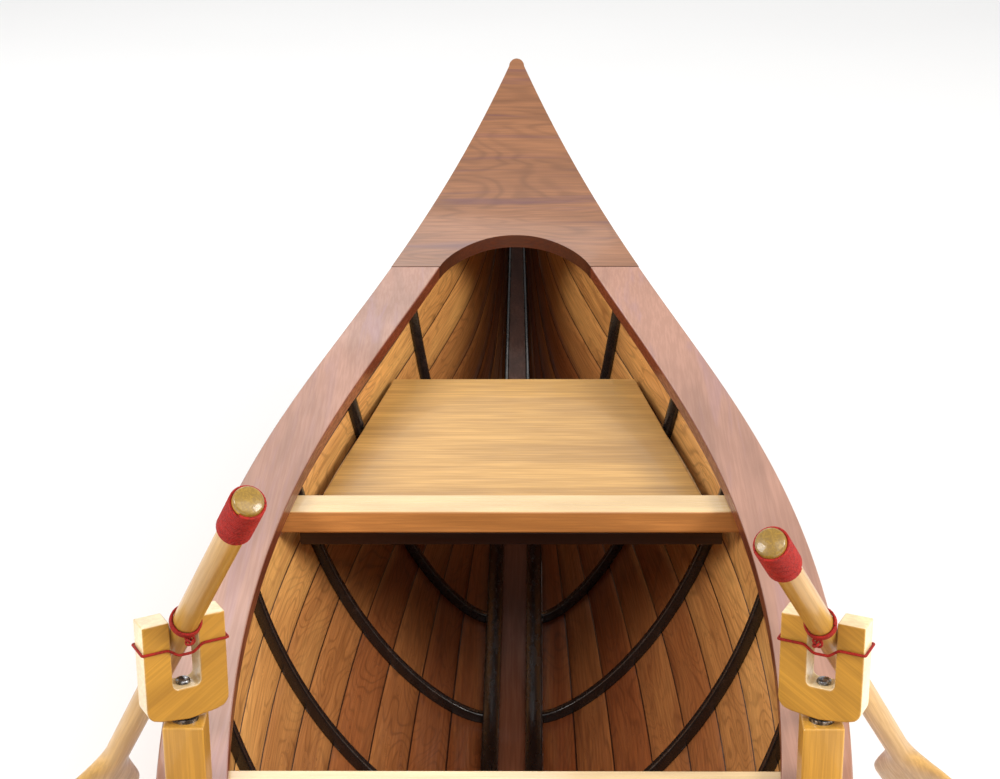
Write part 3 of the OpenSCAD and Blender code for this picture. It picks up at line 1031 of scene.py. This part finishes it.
def make_deck(end, name):
    rows = deck_rows()
    points = []
    for y, half_open in rows:
        for x in (-rim_half(y), -half_open, half_open, rim_half(y)):
            points.append(Vector((x, end * y, sheer(y))))
            points.append(Vector((x, end * y, rim_under(y))))
    faces = []

    def at(row, column, under=0):
        return row * 8 + column * 2 + under

    for row in range(len(rows) - 1):
        columns = (0, 2) if row < ARCH_STEPS else (0, 1, 2)
        for c in columns:
            for under in (0, 1):
                faces.append((at(row, c, under), at(row, c + 1, under),
                              at(row + 1, c + 1, under), at(row + 1, c, under)))
        walls = (0, 1, 2, 3) if row < ARCH_STEPS else (0, 3)
        for c in walls:
            faces.append((at(row, c), at(row + 1, c), at(row + 1, c, 1), at(row, c, 1)))
    for c in (0, 2):
        faces.append((at(0, c), at(0, c + 1), at(0, c + 1, 1), at(0, c, 1)))
    grain = [seeded(along_x, 61 + end)(p) for p in points]
    return finish_mesh("deck_%s_shaped" % name, points, faces, grain, 0.0, 40)


class CANOE_OT_decks(bpy.types.Operator):
    """Cuts the two end decks with their arched openings"""

    bl_idname = "canoe.decks"
    bl_label = "Decks"

    def execute(self, context):
        top = wood(
            "deck_top", colours().deck, figure=0.5, rings=16.0, across=30.0, along=7.0,
            ring_edge=0.35, fibre=0.35, stain=(0.13, 0.05, 0.05), stain_amount=0.75, gloss=0.35,
            rough=(0.32, 0.46), bump=0.15,
        )
        # Painted shade: the arch's edge is darkened to about a third of the sawn edge colour, for
        # the shade under the deck.
        edge = wood("arch_edge_painted_shade", tint(colours().edge, 0.35)[:3], figure=0.5, fibre=0.5, gloss=0.2)
        for end, name in END_NAMES.items():
            deck = make_deck(end, name)
            dress(deck, top, edge)
            edge_slots(deck)
            round_edges(deck, fittings().edge)
            place(deck, "hull", "deck_wood", "deck_" + name)
        return {"FINISHED"}


# Thwarts and seats


def node_outline(node):
    """The four plan corners of a board of the frame, near edge first."""
    low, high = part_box(node)
    points = [v.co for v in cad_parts[node].data.vertices]
    near = max(p.x for p in points if abs(p.y - low[1]) < 1e-5)
    far = max(p.x for p in points if abs(p.y - high[1]) < 1e-5)
    outline = [(-near, low[1]), (near, low[1]), (far, high[1]), (-far, high[1])]
    return outline, low[2], high[2]


def board(name, node, grain_of, tone, edge):
    outline, low, high = node_outline(node)
    return round_edges(prism(name, outline, low, high, grain_of, tone), edge)


class CANOE_OT_boards(bpy.types.Operator):
    """Fits the thwarts, the seats and the cleats under the seats"""

    bl_idname = "canoe.boards"
    bl_label = "Thwarts and seats"

    def execute(self, context):
        cream = wood(
            "thwart_top", colours().thwart, figure=0.25, rings=4.0, across=60.0, fibre=0.2,
            gloss=0.7, rough=(0.24, 0.36), bump=0.1,
        )
        front = wood("thwart_face", colours().thwart_face, figure=0.5, fibre=0.4, gloss=0.5)
        pine = wood(
            "seat_pine", colours().seat, figure=0.45, rings=5.0, across=70.0, along=3.0,
            fibre=0.35, gloss=0.35, rough=(0.32, 0.48), bump=0.2,
        )
        # Painted shade: the seat edges are near black, for the shade under the thwarts.
        rim = wood("seat_edge_painted_shade", colours().seat_edge_painted_shade, figure=0.4, fibre=0.4, gloss=0.15)
        for end, name in END_NAMES.items():
            node = "thwart_" + name
            bar = board(node + "_planed", node, seeded(along_x, 71 + end), 0.1, 0.8 * MM)
            dress(bar, cream, front)
            edge_slots(bar)
            place(bar, "hull", "pale_wood", node)
            node = "seat_" + name
            seat = board(node + "_planed", node, seeded(along_x, 75 + end), 0.0, 0.5 * MM)
            dress(seat, pine, rim)
            edge_slots(seat)
            place(seat, "hull", "seat_wood", node)
            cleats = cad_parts["seat_cleats_" + name]
            dress(cleats, plain_wood("cleat_wood_" + name, colours().thwart, (0, 0, math.pi / 2)))
        return {"FINISHED"}


# Oarlocks


POST_AT = (108 * MM, -128 * MM)
LOCK_YAW = {PORT: 24.5, STARBOARD: 28}
OAR_SLOPE = {PORT: 44, STARBOARD: 47.2}
INBOARD = {PORT: 88 * MM, STARBOARD: 106 * MM}
OAR_DROP = 6.7 * MM
LOCK_THICKNESS = 8.7 * MM
LOCK_WIDTH = 29.3 * MM
LOCK_GRAIN_SLANT = 32
SLOT_HALF = 4.95 * MM
SLOT_FLOOR = 12.2 * MM
SLOT_CORNER = 2 * MM
LOCK_CORNER = 5 * MM
LOCK_CORNER_HEIGHT = 6.3 * MM
LOCK_FOOT_RISE = 0.6 * MM
LOCK_BOW = 3 * MM
PIN_RADIUS = 1.1 * MM
PIN_HEAD = 2.5 * MM
PIN_HEAD_RIM = 0.6 * MM
PIN_HEAD_CROWN = 0.9 * MM


def lock_size(side):
    """Base height, width and height of a block."""
    rows = [v.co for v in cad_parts["lock_" + SIDE_NAMES[side]].data.vertices]
    base = min(p.z for p in rows)
    top = max(p.z for p in rows)
    return base, LOCK_WIDTH, top - base


def pivot(side):
    return Vector((side * POST_AT[0], POST_AT[1], sum(lock_size(side)[::2]) - OAR_DROP))


def lock_matrix(side, height):
    """Frame of a block: +X across its slot, -Y out of its inboard face."""
    at = Matrix.Translation((side * POST_AT[0], POST_AT[1], height))
    return at @ Matrix.Rotation(-side * math.radians(LOCK_YAW[side]), 4, "Z")


def oar_matrix(side):
    """Frame of an oar: +Z up the shaft to the handle, +X level across it."""
    tilt = Matrix.Rotation(math.radians(90 - OAR_SLOPE[side]), 4, "X")
    return lock_matrix(side, pivot(side).z) @ tilt


def arc(centre, radius, start, end, steps):
    found = []
    for i in range(steps + 1):
        a = math.radians(mix(start, end, i / steps))
        found.append((centre[0] + radius * math.cos(a), centre[1] + radius * math.sin(a)))
    return found


def lock_outline(side):
    """Outline of a block seen from inboard: rounded foot with a slightly bowed underside, and
    slot.
    """
    width, height = lock_size(side)[1:]
    half = width / 2
    shoulder = half - LOCK_CORNER
    outline = arc((shoulder, LOCK_CORNER_HEIGHT), LOCK_CORNER, -90, 0, 8)
    outline = [(shoulder, LOCK_FOOT_RISE), *outline[1:]]
    outline += [(half, height * 0.6), (half, height)]
    outline += [(SLOT_HALF, height), (SLOT_HALF, SLOT_FLOOR + SLOT_CORNER)]
    flat = SLOT_HALF - SLOT_CORNER
    outline += arc((flat, SLOT_FLOOR + SLOT_CORNER), SLOT_CORNER, 0, -90, 5)[1:]
    outline += [(0, SLOT_FLOOR)]
    mirrored = [(-x, z) for x, z in outline[::-1][1:]]
    outline += mirrored
    bow_radius = (half**2 + LOCK_BOW**2) / (2 * LOCK_BOW)
    lowered = []
    for x, z in outline:
        floor = bow_radius - math.sqrt(bow_radius**2 - x**2)
        lowered.append((x, max(z, floor)))
    lowered.append((0, 0))
    return lowered


class CANOE_OT_oarlocks(bpy.types.Operator):
    """Sets the posts, washers, nails and slotted blocks"""

    bl_idname = "canoe.oarlocks"
    bl_label = "Oarlocks"

    def execute(self, context):
        golden = wood(
            "block_wood", colours().lock, figure=0.45, rings=4.0, across=55.0, along=8.0,
            fibre=0.3, gloss=0.35, rough=(0.34, 0.5), bump=0.2,
        )
        # Painted light: the sides of each block take this paler cream because they faced the
        # light.
        cream = wood("block_side", colours().lock_side_painted_light, figure=0.3, fibre=0.25, gloss=0.4)
        steel = dull_steel("nail_steel", colours().nail)
        for side, name in SIDE_NAMES.items():
            low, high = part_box("post_" + name)
            outline = [(low[0], low[1]), (high[0], low[1]), (high[0], high[1]), (low[0], high[1])]
            grain = seeded(along_z, 80 + side)
            post = prism("post_%s_planed" % name, outline, low[2], high[2], grain)
            round_edges(dress(post, golden), 0.7 * MM)
            place(post, "hull", "lock_wood", "post_" + name)
            dress(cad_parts["washer_" + name], steel)
            low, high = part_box("pin_" + name)
            neck = high[2] - PIN_HEAD_RIM - PIN_HEAD_CROWN
            profile = [(0.0, low[2]), (PIN_RADIUS, low[2]), (PIN_RADIUS, neck), (PIN_HEAD, neck)]
            profile += arc((0, 0), 1, 0, 90, 6)
            crown = neck + PIN_HEAD_RIM
            profile[4:] = [(PIN_HEAD * x, crown + PIN_HEAD_CROWN * z) for x, z in profile[4:]]
            pin = turned("pin_%s_turned" % name, profile,
                         Matrix.Translation((side * POST_AT[0], POST_AT[1], 0)), along_z)
            place(dress(pin, steel), "hull", "steel", "pin_" + name)
            upright = lock_matrix(side, lock_size(side)[0]) @ Matrix.Rotation(math.pi / 2, 4, "X")
            slant = Matrix.Rotation(math.radians(side * LOCK_GRAIN_SLANT), 4, "Z")

            def slanted(p, turn=slant, seed=86 + side):
                q = turn @ p
                return (q.x + seed, q.y + seed * 0.3, q.z)

            block = prism("lock_%s_sawn" % name, lock_outline(side), -LOCK_THICKNESS / 2,
                          LOCK_THICKNESS / 2, slanted, 0.0, upright)
            dress(block, golden, cream)
            # Faces across the block keep the golden wood; every other face gets the paler painted
            # light.
            across = upright.to_3x3() @ Vector((0, 0, 1))
            for face in block.data.polygons:
                face.material_index = 0 if abs(face.normal.dot(across)) > 0.5 else 1
            round_edges(block, 0.5 * MM, 50)
            place(block, "lock_" + name, "lock_wood", "lock_" + name)
        return {"FINISHED"}


# Oars


GRIP_LENGTH = 22 * MM
BLADE_HALF_THICKNESS = 1.8 * MM
BLADE_SHOULDER = 0.35
BLADE_TIP = 0.85
OAR_LENGTH = 365 * MM
BLADE_TAPER = 70 * MM
OAR_AROUND = 28


def oar_section(distance):
    """Half width and half thickness of an oar at a distance from its handle end."""
    f = fittings()
    shaft_end = OAR_LENGTH - f.blade_length
    if distance <= GRIP_LENGTH:
        return f.grip, f.grip
    if distance <= shaft_end:
        return f.shaft, f.shaft
    v = (distance - shaft_end) / f.blade_length
    half = mix(f.shaft, f.blade_width / 2, smooth(v / BLADE_SHOULDER))
    half *= math.sqrt(max(0.0, 1 - (max(0.0, v - BLADE_TIP) / (1 - BLADE_TIP)) ** 2))
    along_taper = (distance - shaft_end) / BLADE_TAPER
    thick = mix(f.shaft, BLADE_HALF_THICKNESS, smooth(along_taper))
    if v > BLADE_TIP:
        thick *= mix(1.0, 0.55, (v - BLADE_TIP) / (1 - BLADE_TIP))
    return half, thick


def make_oar(side, name, materials):
    """An oar from its handle's rounded end to its blade's tip."""
    f = fittings()
    steps = [0.0, 0.4 * MM, 1.2 * MM, GRIP_LENGTH - 0.01 * MM, GRIP_LENGTH + 0.2 * MM]
    shaft_end = OAR_LENGTH - f.blade_length
    steps += [mix(GRIP_LENGTH + 2 * MM, shaft_end, i / 12) for i in range(13)]
    steps += [shaft_end + f.blade_length * i / 60 for i in range(1, 52)]
    steps += [OAR_LENGTH - f.blade_length * (1 - BLADE_TIP) * (1 - math.sin(math.pi / 2 * i / 14))
              for i in range(1, 15)]
    flat = []
    for distance in steps:
        half, thick = oar_section(distance)
        if distance < 1 * MM:
            ease = 0.86 if distance == 0 else 0.965
            half, thick = half * ease, thick * ease
        flatness = smooth((distance - shaft_end) / (0.5 * f.blade_length))
        for i in range(OAR_AROUND):
            a = 2 * math.pi * i / OAR_AROUND
            x = half * math.cos(a)
            y = thick * math.copysign(abs(math.sin(a)) ** mix(1.0, 0.75, flatness), math.sin(a))
            flat.append(Vector((x, y, INBOARD[side] - distance)))
    faces = loft_faces(len(steps), OAR_AROUND)
    grain = [seeded(along_z, 91 + side)(p) for p in flat]
    turn = oar_matrix(side)
    marks = [1] * (1 + 2 * OAR_AROUND) + [0] * (len(faces) - 1 - 2 * OAR_AROUND)
    points = [turn @ p for p in flat]
    oar = finish_mesh("oar_%s_shaved" % name, points, faces, grain, 0.1, 50, marks)
    dress(oar, *materials)
    return place(oar, "oar_" + name, "oar_wood", "oar_" + name)


class CANOE_OT_oars(bpy.types.Operator):
    """Shapes the two oars"""

    bl_idname = "canoe.oars"
    bl_label = "Oars"

    def execute(self, context):
        ash = wood(
            "oar_wood", colours().oar, figure=0.3, rings=5.0, across=90.0, fibre=0.3, gloss=0.35,
            rough=(0.34, 0.48), bump=0.15,
        )
        cut = wood("handle_end", colours().handle_end, figure=0.6, across=420.0, rings=6.0)
        for side, name in SIDE_NAMES.items():
            make_oar(side, name, (ash, cut))
        return {"FINISHED"}


# Thread: whippings, lashings and bands


WHIPPING_LENGTH = 20 * MM
WHIPPING_SETBACK = 1.2 * MM
LASHING_OFFSET = 8.2 * MM
LASHING_TURNS = 4
LASHING_PITCH = 0.9 * MM
BAND_DROP = 9.8 * MM
BAND_DIP = 2.7 * MM
THREAD_SIDES = 8
HELIX_STEPS = 28
KNOT_SIZE = 1.15 * MM
KNOT_STEPS = 90
KNOT_GAP = 1.6 * MM
BAND_CORNER = 0.6 * MM
BAND_MOUTH_GAP = 0.8 * MM
BAND_DIP_STEPS = 8


def helix_path(nodes, given):
    """A helix round the Z axis."""
    helix = {"Resolution": given["Steps"], "Rotations": given["Turns"], "Height": given["Height"]}
    helix.update({"Start Radius": given["Radius"], "End Radius": given["Radius"]})
    return nodes.add("GeometryNodeCurveSpiral", helix).outputs[0]


def thread_profile(nodes, given):
    """A thread's round section."""
    ring = {"Resolution": THREAD_SIDES, "Radius": given["Thread radius"]}
    return nodes.add("GeometryNodeCurvePrimitiveCircle", ring, mode="RADIUS").outputs[0]


def wind(name, tree, matrix, start, turns, radius, pitch, material):
    """A winding of thread about the Z axis of a frame, from a height upwards."""
    coil = path_object(name, [[(0, 0, 0), (0, 0, 0.001)]])
    grow(
        coil,
        tree,
        Turns=turns,
        Radius=radius,
        Height=turns * pitch,
        Thread_radius=fittings().thread,
        Material=material,
    )
    coil.data.transform(matrix @ Matrix.Translation((0, 0, start)))
    face_out(coil.data)
    return coil


def knot_route():
    """A small tangle of thread, a trefoil."""
    route = []
    for i in range(KNOT_STEPS + 1):
        a = 2 * math.pi * i / KNOT_STEPS
        r = KNOT_SIZE * (1 + 0.45 * math.cos(3 * a))
        high = 0.8 * KNOT_SIZE * math.sin(3 * a)
        route.append((r * math.cos(2 * a), r * math.sin(2 * a), high))
    return route


def band_route(side):
    """The band round a block's cheeks, open over the slot behind and dipping before it."""
    f = fittings()
    out = lock_size(side)[1] / 2 + f.thread * 1.1
    face = LOCK_THICKNESS / 2 + f.thread * 1.1
    mouth = SLOT_HALF + BAND_MOUTH_GAP
    corners = [(mouth, face), (out, face), (out, -face), (mouth + MM, -face)]
    route = []
    for i, (x, y) in enumerate(corners):
        if 0 < i < 3:
            sx, sy = math.copysign(1, x), math.copysign(1, y)
            centre = (x - sx * BAND_CORNER, y - sy * BAND_CORNER)
            start = 90 if sy > 0 else 0
            bend = arc(centre, BAND_CORNER, start, start - 90, 4)
            route += [(px, py, 0.0) for px, py in bend]
        else:
            route.append((x, y, 0.0))
    dip = []
    for i in range(1, BAND_DIP_STEPS + 1):
        v = i / BAND_DIP_STEPS
        dip.append((mix(mouth + MM, 0, v), -face, -BAND_DIP * smooth(v * 1.4)))
    half = route + dip
    return half + [(-x, y, z) for x, y, z in half[::-1][1:]]


def moved(route, matrix):
    return [tuple(matrix @ Vector(p)) for p in route]


class CANOE_OT_threads(bpy.types.Operator):
    """Winds the whippings and lashings, and ties the bands"""

    bl_idname = "canoe.threads"
    bl_label = "Whippings and lashings"

    def execute(self, context):
        f = fittings()
        red = twisted_thread("red_thread", colours().thread)
        orange = twisted_thread("whipping_thread", tint(colours().thread, 1.25, -0.1)[:3])
        sizes = {"Thread radius": 0.0005}
        laid = sweep_tree("Thread along a path", sizes, given_path, thread_profile)
        sizes = {"Turns": 4.0, "Radius": 0.005, "Height": 0.004, **sizes, "Steps": HELIX_STEPS}
        winding = sweep_tree("Thread winding", sizes, helix_path, thread_profile)
        pitch = 2 * f.thread * 0.98
        for side, name in SIDE_NAMES.items():
            turn = oar_matrix(side)
            start = INBOARD[side] - WHIPPING_SETBACK - WHIPPING_LENGTH + f.thread
            turns = (WHIPPING_LENGTH - 2 * f.thread) / pitch
            whipping = wind("grip_whipping_%s_wound" % name, winding, turn, start, turns,
                            f.grip + f.thread * 0.95, pitch, orange)
            place(whipping, "oar_" + name, "thread", "grip_whipping_" + name)
            lashing = wind("lashing_%s_wound" % name, winding, turn, LASHING_OFFSET + f.thread,
                           LASHING_TURNS - 1, f.shaft + f.thread * 1.15, LASHING_PITCH, red)
            place(lashing, "lashing_" + name, "thread", "lashing_" + name)
            height = sum(lock_size(side)[::2]) - BAND_DROP
            band = path_object("lock_band_%s_tied" % name,
                               [moved(band_route(side), lock_matrix(side, height))])
            grow(band, laid, Thread_radius=f.thread, Material=red)
            face_out(band.data)
            place(band, "lock_" + name, "thread", "lock_band_" + name)
            tie = turn @ Matrix.Translation((0, -f.shaft - KNOT_GAP, LASHING_OFFSET - 0.5 * MM))
            knot = path_object("lashing_knot_" + name, [moved(knot_route(), tie)])
            grow(knot, laid, Thread_radius=f.thread * 0.9, Material=red)
            face_out(knot.data)
            place(knot, "lashing_" + name, "thread")
        return {"FINISHED"}


# Stage


CAMERA_AT = (11.26 * MM, -839.1 * MM, 575.9 * MM)
CAMERA_DOWN = 21.91
CAMERA_YAW = 0.93
CAMERA_ROLL = -0.39
CAMERA_LENS = 86.13
FLOOR_REACH = 6.0
SKY_STRENGTH = 0.75
# Name, place, aim, size, power and colour of each lamp
LAMPS = (
    ("key", (0.3, -1.0, 1.4), (0, 0.05, 0.08), (1.0, 0.8), 7, (1.0, 0.97, 0.93)),
    ("right", (1.2, -0.6, 1.05), (0, 0.0, 0.1), (0.7, 0.5), 21, (1.0, 0.97, 0.92)),
    ("left", (-1.2, -0.6, 1.05), (0, 0.0, 0.1), (0.7, 0.5), 14, (1.0, 0.98, 0.95)),
    ("back", (-0.5, 1.4, 1.2), (0, 0.2, 0.15), (1.2, 0.6), 5, (1.0, 1.0, 1.0)),
)


def camera_matrix():
    down, yaw, roll = (math.radians(v) for v in (CAMERA_DOWN, CAMERA_YAW, CAMERA_ROLL))
    level = Vector((-math.sin(yaw), math.cos(yaw), 0))
    ahead = level * math.cos(down) + Vector((0, 0, -math.sin(down)))
    right = Vector((math.cos(yaw), math.sin(yaw), 0))
    up = right.cross(ahead)
    turned_right = math.cos(roll) * right + math.sin(roll) * up
    turned_up = -math.sin(roll) * right + math.cos(roll) * up
    matrix = Matrix((turned_right, turned_up, -ahead)).transposed().to_4x4()
    matrix.translation = CAMERA_AT
    return matrix


def soft_light(name, at, aim, size, power, colour):
    lamp = bpy.data.lights.new(name, "AREA")
    lamp.shape = "RECTANGLE"
    lamp.size, lamp.size_y = size
    lamp.energy = power
    lamp.color = colour
    obj = bpy.data.objects.new(name, lamp)
    obj.location = at
    obj.rotation_euler = (Vector(aim) - Vector(at)).to_track_quat("-Z", "Y").to_euler()
    bpy.context.scene.collection.objects.link(obj)
    return obj


def floor_material():
    material, nodes, surface = shader("pale_floor")
    where = object_grain(nodes)
    mottle = nodes.noise(nodes.scaled(where, (3, 3, 3)), detail=2.0)
    base = nodes.blend(mottle, (0.86, 0.86, 0.86, 1), (0.9, 0.9, 0.9, 1))
    finish = {
        "Base Color": base,
        "Roughness": 0.9,
    }
    nodes.fill(surface, finish)
    return material


class CANOE_OT_stage(bpy.types.Operator):
    """Sets the floor, the lights and the camera"""

    bl_idname = "canoe.stage"
    bl_label = "Stage"

    def execute(self, context):
        mesh = bpy.data.meshes.new("floor")
        turns = ((-1, -1), (1, -1), (1, 1), (-1, 1))
        corners = [(x * FLOOR_REACH, y * FLOOR_REACH, 0) for x, y in turns]
        mesh.from_pydata(corners, [], [(0, 1, 2, 3)])
        floor = link("floor", mesh)
        floor.data.materials.append(floor_material())
        world = bpy.data.worlds.new("soft_room")
        world.use_nodes = True
        nodes = Nodes(world.node_tree)
        white = {"Color": (1.0, 1.0, 1.0, 1), "Strength": SKY_STRENGTH}
        sky = nodes.add("ShaderNodeBackground", white)
        nodes.add("ShaderNodeOutputWorld", {"Surface": sky.outputs[0]})
        context.scene.world = world
        context.scene.view_settings.view_transform = "Standard"
        for lamp in LAMPS:
            soft_light(*lamp)
        lens = bpy.data.cameras.new("camera")
        lens.lens = CAMERA_LENS
        lens.clip_start = 0.01
        lens.clip_end = 50
        camera = bpy.data.objects.new("camera", lens)
        context.scene.collection.objects.link(camera)
        camera.matrix_world = camera_matrix()
        context.scene.camera = camera
        return {"FINISHED"}


OPERATORS = (
    CANOE_OT_stage,
    CANOE_OT_planking,
    CANOE_OT_backbone,
    CANOE_OT_ribs,
    CANOE_OT_gunwales,
    CANOE_OT_decks,
    CANOE_OT_boards,
    CANOE_OT_oarlocks,
    CANOE_OT_oars,
    CANOE_OT_threads,
)
SETTINGS = (
    ("canoe_hull", CanoeHull),
    ("canoe_fittings", CanoeFittings),
    ("canoe_colours", CanoeColours),
)


class CANOE_PT_panel(bpy.types.Panel):
    """Lists the canoe's pieces and settings"""

    bl_idname = "CANOE_PT_panel"
    bl_label = "Canoe"
    bl_space_type = "VIEW_3D"
    bl_region_type = "UI"
    bl_category = "Canoe"

    def draw(self, context):
        for operator in OPERATORS:
            self.layout.operator(operator.bl_idname)
        for name, group in SETTINGS:
            box = self.layout.box()
            for key in group.__annotations__:
                box.prop(getattr(context.scene, name), key)


def register():
    for name, group in SETTINGS:
        bpy.utils.register_class(group)
        setattr(bpy.types.Scene, name, PointerProperty(type=group))
    for operator in OPERATORS:
        bpy.utils.register_class(operator)
    bpy.utils.register_class(CANOE_PT_panel)


def unregister():
    bpy.utils.unregister_class(CANOE_PT_panel)
    for operator in reversed(OPERATORS):
        bpy.utils.unregister_class(operator)
    for name, group in reversed(SETTINGS):
        delattr(bpy.types.Scene, name)
        bpy.utils.unregister_class(group)


def main():
    register()
    for operator in OPERATORS:
        getattr(bpy.ops.canoe, operator.bl_idname.split(".")[1])()


if __name__ == "__main__":
    main()
